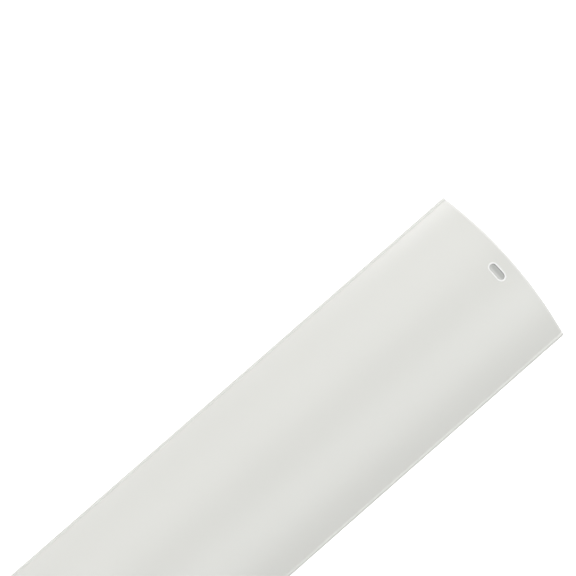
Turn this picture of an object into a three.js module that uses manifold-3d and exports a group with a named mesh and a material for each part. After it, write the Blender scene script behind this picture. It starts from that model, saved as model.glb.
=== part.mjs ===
// A vertical blind vane: one strip of extruded PVC, crowned across its width, with a fine oval bead
// along each long edge. It is cut square at both ends and punched near the top with the slot that the
// hook of its carrier goes through.
//
// Millimetres. +Z runs up the hanging vane, +X across it, and the crowned face looks towards -Y.
// The origin is the middle of the slot, half-way through the sheet.

import * as THREE from 'three';
import { mergeVertices } from 'three/addons/utils/BufferGeometryUtils.js';
import Module from 'manifold-3d';

// The strip
const vaneLength = 2095.5; // cut length, for a window of 84 inches
const vaneWidth = 89; // over both long edges
const crown = 8.6; // how far the middle of the vane stands in front of its long edges
const sheet = 0.8; // thickness of the wall
const beadWidth = 1.9; // of the bead along each long edge
const beadProud = 0.4; // how far the bead stands out from each face

// The slot
const slotLength = 9.3; // across the vane
const slotHeight = 4.2; // along the vane
const slotBelowTop = 10.4; // from the top end to the middle of the slot
const slotLip = 0.25; // width of the softened edge round the slot, on both faces

// How finely the round stretches are divided
const archFacets = 44;
const beadFacets = 12;
const slotEndFacets = 12;

const wasm = await Module();
wasm.setup();

// The vane's section, seen from above with its crowned face at the bottom. It is drawn as a flat sheet
// with an oval bead at each end, and then bent to its arch.
function vaneSection() {
  const halfWidth = vaneWidth / 2;
  const archRadius = (halfWidth ** 2 + crown ** 2) / (2 * crown);
  const beadHalfWidth = beadWidth / 2;
  const beadHalfHeight = sheet / 2 + beadProud;
  const beadPlace = archRadius * Math.asin(halfWidth / archRadius) - beadHalfWidth;

  // The bead's oval runs from the crowned face round its outer side to the back.
  const runIn = Math.PI - Math.asin(sheet / 2 / beadHalfHeight);
  const oval = new THREE.EllipseCurve(beadPlace, 0, beadHalfWidth, beadHalfHeight, -runIn, runIn);
  const rightBead = oval.getPoints(beadFacets);
  const leftBead = rightBead.map(({ x, y }) => new THREE.Vector2(-x, y)).reverse();

  const face = new THREE.LineCurve(leftBead.at(-1), rightBead[0]).getPoints(archFacets).slice(1, -1);
  const back = new THREE.LineCurve(rightBead.at(-1), leftBead[0]).getPoints(archFacets).slice(1, -1);

  const bend = ({ x, y }) => {
    const angle = x / archRadius;
    const radius = archRadius - y;
    return new THREE.Vector2(radius * Math.sin(angle), archRadius - radius * Math.cos(angle));
  };
  return new THREE.Shape([...face, ...rightBead, ...back, ...leftBead].map(bend));
}

// The slot's outline: two half circles joined by straight sides.
function slotOutline() {
  const endRadius = slotHeight / 2;
  const endCentre = (slotLength - slotHeight) / 2;
  const quarter = Math.PI / 2;
  const right = new THREE.EllipseCurve(endCentre, 0, endRadius, endRadius, -quarter, quarter, false);
  const left = new THREE.EllipseCurve(-endCentre, 0, endRadius, endRadius, quarter, 3 * quarter, false);
  return new THREE.Shape([...right.getPoints(slotEndFacets), ...left.getPoints(slotEndFacets)]);
}

// A closed three.js geometry as a solid that can be joined and cut.
function toSolid(geometry) {
  geometry.deleteAttribute('normal');
  geometry.deleteAttribute('uv');
  const merged = mergeVertices(geometry);
  const mesh = new wasm.Mesh({
    numProp: 3,
    vertProperties: new Float32Array(merged.attributes.position.array),
    triVerts: new Uint32Array(merged.index.array),
  });
  return new wasm.Manifold(mesh);
}

function toGeometry(solid) {
  const mesh = solid.getMesh();
  const geometry = new THREE.BufferGeometry();
  geometry.setAttribute('position', new THREE.BufferAttribute(mesh.vertProperties, 3));
  geometry.setIndex(new THREE.BufferAttribute(mesh.triVerts, 1));
  geometry.computeVertexNormals();
  return geometry;
}

// The uncut strip, with its top end above the slot's place.
function strip() {
  const geometry = new THREE.ExtrudeGeometry(vaneSection(), { depth: vaneLength, bevelEnabled: false });
  geometry.translate(0, 0, slotBelowTop - vaneLength);
  return toSolid(geometry);
}

// What the punch takes out: the slot right through the sheet, and on each face a flare that leaves
// the slot's edge softened.
function slotCut() {
  const throughDepth = 2 * crown;
  const through = new THREE.ExtrudeGeometry(slotOutline(), { depth: throughDepth, bevelEnabled: false });
  through.translate(0, 0, -throughDepth / 2);
  through.rotateX(Math.PI / 2);

  const flares = [Math.PI / 2, -Math.PI / 2].map((turn) => {
    const flare = new THREE.ExtrudeGeometry(slotOutline(), {
      depth: sheet,
      bevelThickness: slotLip,
      bevelSize: slotLip,
      bevelSegments: 1,
    });
    flare.translate(0, 0, sheet / 2);
    flare.rotateX(turn);
    return toSolid(flare);
  });
  return flares.reduce((cut, flare) => cut.add(flare), toSolid(through));
}

// Smooth white PVC with a satin face
const satinPvc = new THREE.MeshStandardMaterial({ color: '#e8e8e3', roughness: 0.42, metalness: 0 });

const vane = new THREE.Mesh(toGeometry(strip().subtract(slotCut())), satinPvc);
vane.name = 'vane';

const verticalBlindVane = new THREE.Group();
verticalBlindVane.add(vane);

export default verticalBlindVane;
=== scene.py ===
# A hanging vertical blind vane of white PVC, seen close to its top end from in front and below.
# Metres. +Z runs up the vane, +X across it, and its crowned face looks towards -Y. The origin is the
# middle of the hanging slot.

import math

import bmesh
import bpy
from mathutils import Matrix, Vector


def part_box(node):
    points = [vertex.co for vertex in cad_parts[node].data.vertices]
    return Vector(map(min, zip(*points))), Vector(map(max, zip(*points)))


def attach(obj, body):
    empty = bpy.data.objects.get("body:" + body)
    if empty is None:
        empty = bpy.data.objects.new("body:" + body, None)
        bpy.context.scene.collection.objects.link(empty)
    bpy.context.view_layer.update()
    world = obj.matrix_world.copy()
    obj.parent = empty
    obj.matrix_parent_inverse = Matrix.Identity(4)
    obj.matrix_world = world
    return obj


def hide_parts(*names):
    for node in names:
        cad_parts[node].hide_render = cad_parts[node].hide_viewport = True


MM = 0.001

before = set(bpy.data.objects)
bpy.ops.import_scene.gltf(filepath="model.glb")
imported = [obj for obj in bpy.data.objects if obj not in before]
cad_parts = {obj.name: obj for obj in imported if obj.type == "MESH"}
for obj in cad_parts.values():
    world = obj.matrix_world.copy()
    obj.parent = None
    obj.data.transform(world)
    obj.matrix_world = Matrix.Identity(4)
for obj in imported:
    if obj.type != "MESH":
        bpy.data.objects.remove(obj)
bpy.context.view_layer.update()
vane_low, vane_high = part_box("vane")

# The strip
TOP = vane_high.z
BOTTOM = vane_low.z
VANE_WIDTH = 89 * MM
CROWN = 8.6 * MM
SHEET = 0.8 * MM
BEAD_HALF_WIDTH = 1.9 / 2 * MM
BEAD_HALF_HEIGHT = SHEET / 2 + 0.4 * MM

# The arch of the sheet, along its middle line
ARCH_RADIUS = ((VANE_WIDTH / 2) ** 2 + CROWN**2) / (2 * CROWN)
BEAD_PLACE = ARCH_RADIUS * math.asin(VANE_WIDTH / 2 / ARCH_RADIUS) - BEAD_HALF_WIDTH
HALF_SHEET_WIDTH = BEAD_PLACE + SHEET / 2

# The slot
SLOT_LENGTH = 9.3 * MM
SLOT_HEIGHT = 4.2 * MM
SLOT_RADIUS = SLOT_HEIGHT / 2
SLOT_STRAIGHT = SLOT_LENGTH - SLOT_HEIGHT
SLOT_LIP = 0.25 * MM

# Half the width and height of the patch of the sheet that is shaped to the slot
SLOT_PATCH_WIDTH = 8 * MM
SLOT_PATCH_HEIGHT = 6 * MM

# Two places that are no further apart than this count as one
TOUCH = 1e-6

# What the photograph shows, in pixels of its frame, and how steeply the vane runs up to the right in it
PHOTO_SIDE = 576
PHOTO_VANE_WIDTH = 183.4
PHOTO_SLOT = (497.2, 271.7)
PHOTO_RISE = math.radians(41.09)

# How far below the vane's front, and how far to its side, the camera stands
VIEW_TILT = math.radians(32.4)
VIEW_TURN = math.radians(0.5)


def linear(hex_colour):
    """An sRGB hex colour as the linear RGBA that Blender's sockets take."""
    parts = [int(hex_colour[i : i + 2], 16) / 255 for i in (1, 3, 5)]
    return [p / 12.92 if p <= 0.04045 else ((p + 0.055) / 1.055) ** 2.4 for p in parts] + [1.0]


def add_node(tree, kind, settings=None, inputs=None):
    """Adds a node. settings are its properties, and inputs give each socket a value or a socket to take."""
    node = tree.nodes.new(kind)
    for name, value in (settings or {}).items():
        setattr(node, name, value)
    for name, value in (inputs or {}).items():
        if isinstance(value, bpy.types.NodeSocket):
            tree.links.new(value, node.inputs[name])
        else:
            node.inputs[name].default_value = value
    return node


def new_material(name):
    """An empty node material, and its tree."""
    material = bpy.data.materials.new(name)
    material.use_nodes = True
    material.node_tree.nodes.clear()
    return material, material.node_tree


def satin_pvc():
    """Rigid PVC, extruded through a polished die: an even, faintly warm white with a soft sheen and fine
    die lines down its length. It is paler and duller where the punch or the saw has stressed it; round the
    slot that pale ring is also brightened as a painted highlight. The wall inside the slot is painted shade,
    grey."""
    material, tree = new_material("satin_pvc")
    place = add_node(tree, "ShaderNodeTexCoord").outputs["Object"]
    axes = add_node(tree, "ShaderNodeSeparateXYZ", inputs={"Vector": place}).outputs
    across = add_node(tree, "ShaderNodeMath", {"operation": "ABSOLUTE"}, {0: axes["X"]}).outputs[0]
    smooth_step = {"interpolation_type": "SMOOTHSTEP"}

    # How far a point is from the slot's middle line, which is its radius on the wall of the slot
    past_straight = add_node(
        tree, "ShaderNodeMath", {"operation": "SUBTRACT"}, {0: across, 1: SLOT_STRAIGHT / 2}
    )
    past_straight = add_node(
        tree, "ShaderNodeMath", {"operation": "MAXIMUM"}, {0: past_straight.outputs[0], 1: 0.0}
    )
    to_slot_line = add_node(
        tree, "ShaderNodeCombineXYZ", inputs={"X": past_straight.outputs[0], "Z": axes["Z"]}
    )
    slot_reach = add_node(
        tree, "ShaderNodeVectorMath", {"operation": "LENGTH"}, {0: to_slot_line.outputs[0]}
    ).outputs["Value"]
    # The wall inside the slot is painted grey: painted shade standing in for the shade on the slot's upper
    # wall
    slot_wall_painted_shade = add_node(
        tree,
        "ShaderNodeMapRange",
        smooth_step,
        {
            "Value": slot_reach,
            "From Min": SLOT_RADIUS + 0.02 * MM,
            "From Max": SLOT_RADIUS + 0.1 * MM,
            "To Min": 1.0,
            "To Max": 0.0,
        },
    ).outputs[0]
    # A pale ring round the slot: stress whitening from the punch, brightened into a painted highlight along
    # the rim
    slot_whitening_and_painted_highlight = add_node(
        tree,
        "ShaderNodeMapRange",
        smooth_step,
        {
            "Value": slot_reach,
            "From Min": SLOT_RADIUS + 0.75 * MM,
            "From Max": SLOT_RADIUS + 0.95 * MM,
            "To Min": 1.0,
            "To Max": 0.0,
        },
    ).outputs[0]
    end_blush = add_node(
        tree,
        "ShaderNodeMapRange",
        smooth_step,
        {"Value": axes["Z"], "From Min": TOP - 1.4 * MM, "From Max": TOP - 0.6 * MM},
    ).outputs[0]
    blush = add_node(
        tree, "ShaderNodeMath", {"operation": "MAXIMUM"}, {0: slot_whitening_and_painted_highlight, 1: end_blush}
    ).outputs[0]

    # Die lines are streaks about 1 mm apart, drawn out along the extrusion. The grain is about 0.4 mm, which
    # is coarser than on a real vane, so that it shows. The clouds of tone are about 70 mm wide.
    along_die = add_node(tree, "ShaderNodeMapping", inputs={"Vector": place, "Scale": (1000, 1000, 6)})
    die_lines = add_node(
        tree, "ShaderNodeTexNoise", inputs={"Vector": along_die.outputs[0], "Scale": 1.0, "Detail": 3.0}
    ).outputs["Fac"]
    grain = add_node(
        tree, "ShaderNodeTexNoise", inputs={"Vector": place, "Scale": 2400.0, "Detail": 2.0}
    ).outputs["Fac"]
    clouds = add_node(
        tree, "ShaderNodeTexNoise", inputs={"Vector": place, "Scale": 14.0, "Detail": 2.0}
    ).outputs["Fac"]

    def mix(factor, a, b):
        node = add_node(tree, "ShaderNodeMix", {"data_type": "RGBA"}, {"Factor": factor, "A": a, "B": b})
        return node.outputs["Result"]

    colour = mix(clouds, linear("#E6E6E1"), linear("#E8E8E3"))
    colour = mix(end_blush, colour, linear("#F3F3F0"))
    # Painted highlight round the slot, partly stress whitening, and painted shade on the wall inside the
    # slot
    colour = mix(slot_whitening_and_painted_highlight, colour, linear("#FFFFFE"))
    colour = mix(slot_wall_painted_shade, colour, linear("#82827E"))
    roughness = add_node(
        tree, "ShaderNodeMapRange", inputs={"Value": grain, "To Min": 0.22, "To Max": 0.27}
    )
    dull = add_node(
        tree,
        "ShaderNodeMath",
        {"operation": "MULTIPLY_ADD"},
        {0: blush, 1: 0.25, 2: roughness.outputs[0]},
    )
    lines_bump = add_node(
        tree, "ShaderNodeBump", inputs={"Height": die_lines, "Strength": 0.35, "Distance": 0.004 * MM}
    )
    grain_bump = add_node(
        tree,
        "ShaderNodeBump",
        inputs={
            "Height": grain,
            "Strength": 0.35,
            "Distance": 0.002 * MM,
            "Normal": lines_bump.outputs["Normal"],
        },
    )
    shader = add_node(
        tree,
        "ShaderNodeBsdfPrincipled",
        inputs={
            "Base Color": colour,
            "Roughness": dull.outputs[0],
            "IOR": 1.53,
            "Normal": grain_bump.outputs["Normal"],
        },
    )
    add_node(tree, "ShaderNodeOutputMaterial", inputs={"Surface": shader.outputs[0]})
    return material


def flat_columns():
    """Where the flat sheet is divided across its width: close together at the slot and at the beads."""
    slot_step = 1 * MM
    wide_step = 2 * MM
    columns = [i * slot_step for i in range(int(SLOT_PATCH_WIDTH / slot_step) + 1)]
    while columns[-1] + wide_step < BEAD_PLACE - 2 * BEAD_HALF_WIDTH:
        columns.append(columns[-1] + wide_step)
    bead_shares = (1.6, 1.2, 1, 0.92, 0.85, 0.75, 0.65, 0.5, 0.35, 0.2, 0.1)
    columns += [BEAD_PLACE - BEAD_HALF_WIDTH * share for share in bead_shares]
    return sorted({-c for c in columns} | set(columns))


def flat_sheet(bm):
    """The face of the vane as a flat sheet in X and Z, divided across and along, without the slot's
    patch."""
    length = TOP - BOTTOM
    middle = Vector((0, 0, (TOP + BOTTOM) / 2))
    bmesh.ops.create_grid(bm, x_segments=1, y_segments=1, size=0.5)
    bmesh.ops.scale(bm, vec=(2 * HALF_SHEET_WIDTH, length, 1), verts=bm.verts)
    bmesh.ops.rotate(bm, matrix=Matrix.Rotation(math.pi / 2, 3, "X"), verts=bm.verts)
    bmesh.ops.translate(bm, vec=middle, verts=bm.verts)

    row_step = 40 * MM
    end_hold = 0.3 * MM
    end_row = 2 * MM
    slot_rows = round(SLOT_PATCH_HEIGHT / MM)
    rows = [TOP - end_hold, BOTTOM + end_hold]
    rows += [i * MM for i in range(-slot_rows, slot_rows + 1)]
    rows += [TOP - end_row]
    rows += [-SLOT_PATCH_HEIGHT - row_step * (i + 1) for i in range(int((length - TOP) / row_step))]
    cuts = [(Vector((x, 0, 0)), Vector((1, 0, 0))) for x in flat_columns()]
    cuts += [(Vector((0, 0, z)), Vector((0, 0, 1))) for z in rows if BOTTOM < z < TOP]
    for point, normal in cuts:
        everything = bm.verts[:] + bm.edges[:] + bm.faces[:]
        bmesh.ops.bisect_plane(bm, geom=everything, dist=TOUCH / 10, plane_co=point, plane_no=normal)

    def in_patch(face):
        centre = face.calc_center_median()
        return abs(centre.x) < SLOT_PATCH_WIDTH and abs(centre.z) < SLOT_PATCH_HEIGHT

    bmesh.ops.delete(bm, geom=[f for f in bm.faces if in_patch(f)], context="FACES")


def slot_loop(bm, steps):
    """The slot's edge: two half circles, each spun from one vertex, and the straight sides between them.
    Returns its edges."""
    straight_steps = 10
    arc_steps = steps // 2 - straight_steps
    ends = []
    for side in (1, -1):
        centre = Vector((side * SLOT_STRAIGHT / 2, 0, 0))
        start = bm.verts.new(centre - Vector((0, 0, side * SLOT_RADIUS)))
        spun = bmesh.ops.spin(
            bm,
            geom=[start],
            cent=centre,
            axis=(0, -1, 0),
            angle=math.pi,
            steps=arc_steps,
            use_duplicate=False,
        )
        last = next(g for g in spun["geom_last"] if isinstance(g, bmesh.types.BMVert))
        ends.append((start, last))
    (right_low, right_high), (left_high, left_low) = ends
    straights = [bm.edges.new((right_high, left_high)), bm.edges.new((left_low, right_low))]
    bmesh.ops.subdivide_edges(bm, edges=straights, cuts=straight_steps - 1)
    return [e for e in bm.edges if e.is_wire]


def punch_slot(bm):
    """Fills the patch with rings of faces that run from its border in to the slot's edge."""

    def on_patch(v):
        return abs(v.co.x) < SLOT_PATCH_WIDTH + TOUCH and abs(v.co.z) < SLOT_PATCH_HEIGHT + TOUCH

    border = [e for e in bm.edges if e.is_boundary and all(on_patch(v) for v in e.verts)]
    slot = slot_loop(bm, len(border))
    bridge = bmesh.ops.bridge_loops(bm, edges=border + slot)
    bridged = {e for f in bridge["faces"] for e in f.edges} - set(border) - set(slot)
    rungs = [e for e in bm.edges if e in bridged]
    bmesh.ops.subdivide_edges(bm, edges=rungs, cuts=4, use_grid_fill=True)


def near(value, target):
    return abs(value - target) < TOUCH


def round_edges(bm):
    """Rounds the long edges, softens the slot's edge and takes the sharpness off the sawn ends."""
    bevel = {"affect": "EDGES", "profile": 0.5, "material": -1}
    long_edge_radius = 0.98 * SHEET / 2
    end_softening = 0.06 * MM
    sharp = math.radians(60)
    slot_tolerance = 0.02 * MM

    def along_a_face(e):
        return near(e.verts[0].co.y, e.verts[1].co.y)

    def on_long_edge(v):
        return near(abs(v.co.x), HALF_SHEET_WIDTH)

    def on_slot(v):
        reach = math.hypot(max(abs(v.co.x) - SLOT_STRAIGHT / 2, 0), v.co.z)
        return abs(reach - SLOT_RADIUS) < slot_tolerance

    long_edges = [e for e in bm.edges if all(on_long_edge(v) for v in e.verts) and along_a_face(e)]
    bmesh.ops.bevel(bm, geom=long_edges, offset=long_edge_radius, segments=6, **bevel)

    slot_edges = [e for e in bm.edges if all(on_slot(v) for v in e.verts) and along_a_face(e)]
    bmesh.ops.bevel(bm, geom=slot_edges, offset=SLOT_LIP, segments=3, **bevel)

    for end in (TOP, BOTTOM):
        end_edges = [
            e
            for e in bm.edges
            if all(near(v.co.z, end) for v in e.verts) and e.calc_face_angle(0) > sharp
        ]
        bmesh.ops.bevel(bm, geom=end_edges, offset=end_softening, segments=2, **bevel)


def swell_beads(bm):
    """Swells the sheet into the oval bead that runs along each long edge, and blends the two a little
    where they meet."""
    wider = BEAD_HALF_WIDTH / (SHEET / 2)
    higher = BEAD_HALF_HEIGHT / (SHEET / 2)
    blend = 0.08
    for v in bm.verts:
        past = abs(v.co.x) - BEAD_PLACE
        if past > 0:
            v.co.x = math.copysign(BEAD_PLACE + past * wider, v.co.x)
            v.co.y *= higher
        else:
            oval = higher * math.sqrt(max(1 - (past / BEAD_HALF_WIDTH) ** 2, 0))
            v.co.y *= (1 + oval + math.hypot(oval - 1, blend)) / 2


def crown_sheet(bm):
    """Bends the flat sheet to the arch, its middle line keeping its length."""
    for v in bm.verts:
        angle = v.co.x / ARCH_RADIUS
        radius = ARCH_RADIUS - v.co.y
        v.co.x = radius * math.sin(angle)
        v.co.y = ARCH_RADIUS - radius * math.cos(angle)


def make_vane():
    bm = bmesh.new()
    flat_sheet(bm)
    punch_slot(bm)
    back = bmesh.ops.extrude_face_region(bm, geom=bm.faces[:], use_keep_orig=True)
    moved = [g for g in back["geom"] if isinstance(g, bmesh.types.BMVert)]
    bmesh.ops.translate(bm, vec=(0, SHEET, 0), verts=moved)
    bmesh.ops.translate(bm, vec=(0, -SHEET / 2, 0), verts=bm.verts)
    bmesh.ops.recalc_face_normals(bm, faces=bm.faces)
    round_edges(bm)
    swell_beads(bm)
    crown_sheet(bm)
    for face in bm.faces:
        face.smooth = True
    mesh = bpy.data.meshes.new("pvc_vane")
    bm.to_mesh(mesh)
    bm.free()
    vane = bpy.data.objects.new("pvc_vane", mesh)
    bpy.context.scene.collection.objects.link(vane)
    mesh.materials.append(satin_pvc())
    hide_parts("vane")
    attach(vane, "root")


def floor_white():
    """Matt white paper. It keeps the vane's shadow near the vane, and fades to plain white at its rim."""
    material, tree = new_material("white_paper")
    place = add_node(tree, "ShaderNodeTexCoord").outputs["Object"]
    flat = add_node(tree, "ShaderNodeVectorMath", {"operation": "MULTIPLY"}, {0: place, 1: (1, 1, 0)})
    reach = add_node(tree, "ShaderNodeVectorMath", {"operation": "LENGTH"}, {0: flat.outputs[0]})
    fade = add_node(
        tree,
        "ShaderNodeMapRange",
        {"interpolation_type": "SMOOTHSTEP"},
        {
            "Value": reach.outputs["Value"],
            "From Min": 0.2,
            "From Max": 1.2,
            "To Min": 0.35,
            "To Max": 1.0,
        },
    ).outputs[0]
    seen = add_node(tree, "ShaderNodeLightPath").outputs["Is Camera Ray"]
    glow = add_node(tree, "ShaderNodeMath", {"operation": "MULTIPLY"}, {0: seen, 1: fade})
    paper = add_node(tree, "ShaderNodeBsdfDiffuse", inputs={"Color": linear("#E8E8E8")})
    light = add_node(tree, "ShaderNodeEmission", inputs={"Strength": glow.outputs[0]})
    surface = add_node(tree, "ShaderNodeAddShader", inputs={0: paper.outputs[0], 1: light.outputs[0]})
    add_node(tree, "ShaderNodeOutputMaterial", inputs={"Surface": surface.outputs[0]})
    return material


def wall_white():
    """A matt wall that shows plain white beside the vane. Right behind the vane it is grey, as it would be
    in the vane's shade, and greyer from about 6 mm above the slot's middle up, which shows along the slot's
    upper side from below. It doesn't show from behind."""
    material, tree = new_material("white_wall")
    smooth_step = {"interpolation_type": "SMOOTHSTEP"}
    place = add_node(tree, "ShaderNodeTexCoord").outputs["Object"]
    axes = add_node(tree, "ShaderNodeSeparateXYZ", inputs={"Vector": place}).outputs
    across = add_node(tree, "ShaderNodeMath", {"operation": "ABSOLUTE"}, {0: axes["X"]}).outputs[0]
    up = add_node(
        tree, "ShaderNodeMath", {"operation": "SUBTRACT"}, {0: axes["Z"], 1: (TOP + BOTTOM) / 2}
    ).outputs[0]
    up = add_node(tree, "ShaderNodeMath", {"operation": "ABSOLUTE"}, {0: up}).outputs[0]

    # The grey ends a little inside the vane's outline, so that none of it shows beside the vane
    inset = 0.2 * MM
    borders = (
        (across, VANE_WIDTH / 2, 6 * MM),
        (up, (TOP - BOTTOM) / 2, 1 * MM),
    )
    beside = []
    for distance, border, blend in borders:
        step = add_node(
            tree,
            "ShaderNodeMapRange",
            smooth_step,
            {"Value": distance, "From Min": border - blend - inset, "From Max": border - inset},
        )
        beside.append(step.outputs[0])
    beside = add_node(
        tree, "ShaderNodeMath", {"operation": "MAXIMUM"}, {0: beside[0], 1: beside[1]}
    ).outputs[0]

    shade = add_node(
        tree,
        "ShaderNodeMapRange",
        smooth_step,
        {"Value": axes["Z"], "From Min": 5.4 * MM, "From Max": 6.5 * MM, "To Min": 0.62, "To Max": 0.49},
    ).outputs[0]
    paint = add_node(tree, "ShaderNodeBsdfDiffuse", inputs={"Color": linear("#E8E8E8")})
    glow = add_node(tree, "ShaderNodeEmission", inputs={"Strength": 1.0})
    white = add_node(tree, "ShaderNodeAddShader", inputs={0: paint.outputs[0], 1: glow.outputs[0]})
    shaded = add_node(tree, "ShaderNodeEmission", inputs={"Color": linear("#FDFFFB"), "Strength": shade})
    front = add_node(
        tree, "ShaderNodeMixShader", inputs={0: beside, 1: shaded.outputs[0], 2: white.outputs[0]}
    )
    behind = add_node(tree, "ShaderNodeNewGeometry").outputs["Backfacing"]
    clear = add_node(tree, "ShaderNodeBsdfTransparent")
    surface = add_node(
        tree, "ShaderNodeMixShader", inputs={0: behind, 1: front.outputs[0], 2: clear.outputs[0]}
    )
    add_node(tree, "ShaderNodeOutputMaterial", inputs={"Surface": surface.outputs[0]})
    return material


def add_stage():
    """A round floor under the hanging vane, small enough for the camera to look past its rim, and a white
    wall close behind the vane that only the camera sees."""
    scene = bpy.context.scene
    floor_gap = 12 * MM
    floor_radius = 1.9
    bm = bmesh.new()
    bmesh.ops.create_circle(bm, cap_ends=True, segments=96, radius=floor_radius)
    bmesh.ops.translate(bm, vec=(0, 0, BOTTOM - floor_gap), verts=bm.verts)
    mesh = bpy.data.meshes.new("floor")
    bm.to_mesh(mesh)
    bm.free()
    floor = bpy.data.objects.new("floor", mesh)
    mesh.materials.append(floor_white())

    wall_gap = 1 * MM
    wall_width = 1.2
    wall_height = 2.7
    bm = bmesh.new()
    bmesh.ops.create_grid(bm, x_segments=1, y_segments=1, size=0.5)
    bmesh.ops.scale(bm, vec=(wall_width, wall_height, 1), verts=bm.verts)
    bmesh.ops.rotate(bm, matrix=Matrix.Rotation(math.pi / 2, 3, "X"), verts=bm.verts)
    wall_place = (0, vane_high.y + wall_gap, BOTTOM - floor_gap + wall_height / 2)
    bmesh.ops.translate(bm, vec=wall_place, verts=bm.verts)
    mesh = bpy.data.meshes.new("wall")
    bm.to_mesh(mesh)
    bm.free()
    wall = bpy.data.objects.new("wall", mesh)
    mesh.materials.append(wall_white())
    wall.visible_diffuse = False
    wall.visible_glossy = False
    wall.visible_transmission = False
    wall.visible_shadow = False

    for piece in (floor, wall):
        scene.collection.objects.link(piece)


def add_world(ambient):
    """Soft light of the given strength from all round, and plain white wherever the camera or a reflection
    sees past the stage."""
    world = bpy.data.worlds.new("white_studio")
    world.use_nodes = True
    tree = world.node_tree
    tree.nodes.clear()
    rays = add_node(tree, "ShaderNodeLightPath").outputs
    most = {"operation": "MAXIMUM"}
    seen = add_node(tree, "ShaderNodeMath", most, {0: rays["Is Camera Ray"], 1: rays["Is Glossy Ray"]})
    seen = add_node(tree, "ShaderNodeMath", most, {0: seen.outputs[0], 1: rays["Is Transmission Ray"]})
    strength = add_node(
        tree, "ShaderNodeMapRange", inputs={"Value": seen.outputs[0], "To Min": ambient, "To Max": 1.0}
    )
    background = add_node(
        tree,
        "ShaderNodeBackground",
        inputs={"Color": linear("#FFFFFF"), "Strength": strength.outputs[0]},
    )
    add_node(tree, "ShaderNodeOutputWorld", inputs={"Surface": background.outputs[0]})
    bpy.context.scene.world = world


def add_lamp(name, place, aim, width, height, power, colour):
    """A rectangular area lamp at place, turned towards aim."""
    lamp = bpy.data.lights.new(name, "AREA")
    lamp.shape = "RECTANGLE"
    lamp.size = width
    lamp.size_y = height
    lamp.energy = power
    lamp.color = linear(colour)[:3]
    piece = bpy.data.objects.new(name, lamp)
    piece.location = place
    piece.rotation_euler = (aim - place).to_track_quat("-Z", "Y").to_euler()
    bpy.context.scene.collection.objects.link(piece)


def add_softboxes():
    """Tall softboxes round the vane, and two small ones above that lift its top end. Each azimuth is the
    lamp's place round the vane in degrees: 0 in front, 90 at the right, 180 behind."""
    lamp_top = 1.25
    lamp_bottom = BOTTOM + 0.05
    lamp_distance = 1.6
    middle = Vector((0, 0, (lamp_top + lamp_bottom) / 2))

    # Name, azimuth, width in metres, power in watts and colour
    strips = (
        ("softbox_key", -58, 1.2, 12.7, "#FFFEFE"),
        ("softbox_front_left", -20, 0.6, 6.5, "#FFFFFF"),
        ("softbox_front_right", 18, 0.6, 8.5, "#FDFFFF"),
        ("softbox_right", 28, 0.9, 4.2, "#FDFFFF"),
        ("softbox_rim_left", -112, 0.6, 7, "#FFFFFF"),
        ("softbox_rim_right", 112, 0.6, 6, "#FFFFFF"),
        ("softbox_back", 180, 1.2, 20, "#FFFFFF"),
    )
    for name, azimuth, width, power, colour in strips:
        angle = math.radians(azimuth)
        place = middle + lamp_distance * Vector((math.sin(angle), -math.cos(angle), 0))
        add_lamp(name, place, middle, width, lamp_top - lamp_bottom, power, colour)

    top_distance = 0.6

    # Name, azimuth, elevation over the slot, width in metres, power in watts and colour
    tops = (
        ("softbox_top_left", -50, 36, 0.12, 0.23, "#FFFEFE"),
        ("softbox_top_right", 30, 50, 0.25, 0.43, "#FFFFFF"),
    )
    for name, azimuth, elevation, width, power, colour in tops:
        angle = math.radians(azimuth)
        rise = math.radians(elevation)
        level = Vector((math.sin(angle), -math.cos(angle), 0)) * math.cos(rise)
        place = top_distance * (level + Vector((0, 0, math.sin(rise))))
        add_lamp(name, place, Vector(), width, width, power, colour)


def add_camera():
    """A very long lens, so that the vane's edges run side by side as in the photograph. It stands in front
    of the vane and below it, and is rolled so that the vane runs up to the right."""
    aim = Matrix.Rotation(VIEW_TURN, 3, "Z") @ Matrix.Rotation(VIEW_TILT, 3, "X")
    across, forward, along = aim.col
    right = across * math.sin(PHOTO_RISE) + along * math.cos(PHOTO_RISE)
    up = along * math.sin(PHOTO_RISE) - across * math.cos(PHOTO_RISE)

    camera_data = bpy.data.cameras.new("camera")
    camera_data.lens = 1700
    camera_data.clip_end = 200
    pixel = VANE_WIDTH / PHOTO_VANE_WIDTH
    distance = camera_data.lens / camera_data.sensor_width * PHOTO_SIDE * pixel

    # The width was measured about this far below the slot, where the vane is nearer to the camera
    seen_middle = 120 * MM
    slot_depth = seen_middle * math.sin(VIEW_TILT)
    spread = pixel * (distance + slot_depth) / distance
    slot_right = (PHOTO_SLOT[0] - PHOTO_SIDE / 2) * spread
    slot_up = (PHOTO_SIDE / 2 - PHOTO_SLOT[1]) * spread
    slot_face = Vector((0, -SHEET / 2, 0))

    camera = bpy.data.objects.new("camera", camera_data)
    turn = Matrix((right, up, -forward)).transposed()
    camera.matrix_world = Matrix.Translation(
        slot_face - right * slot_right - up * slot_up - forward * (distance + slot_depth)
    ) @ turn.to_4x4()
    bpy.context.scene.collection.objects.link(camera)
    bpy.context.scene.camera = camera


make_vane()
add_stage()
add_world(0.2)
add_softboxes()
add_camera()
bpy.context.scene.view_settings.view_transform = "Standard"
